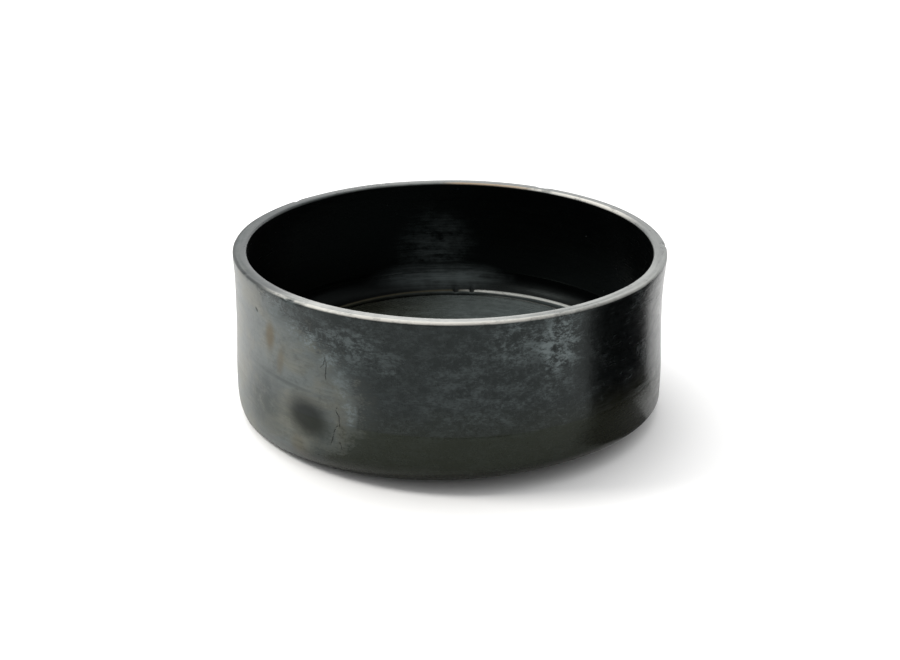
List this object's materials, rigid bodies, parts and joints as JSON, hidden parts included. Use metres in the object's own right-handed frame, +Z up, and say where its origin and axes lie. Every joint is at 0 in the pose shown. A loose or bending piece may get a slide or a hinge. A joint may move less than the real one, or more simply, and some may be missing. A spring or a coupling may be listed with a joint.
{
  "type": "straight-sided bowl",
  "caption": "Wide round bowl with upright walls, a flat thick rim, a rounded corner to a flat foot and a coved inside corner; burnished black earthenware.",
  "frame": {"origin": "centre of the flat foot, on the surface the bowl stands on", "axes": "+Z up along the bowl's axis; the bowl is round, so X and Y are any two level directions"},
  "size_m": [0.2542, 0.2542, 0.0975],
  "materials": {
    "burnished_base": "burnished black earthenware, satin, worn browner low down",
    "burnished_wall": "burnished black earthenware, glossy with rubbed streaks",
    "burnished_inside": "burnished black earthenware, satin"
  },
  "bodies": {
    "root": {"base_dish": "burnished_base", "wall_ring": "burnished_wall", "corner_coil": "burnished_inside"}
  },
  "joints": []
}
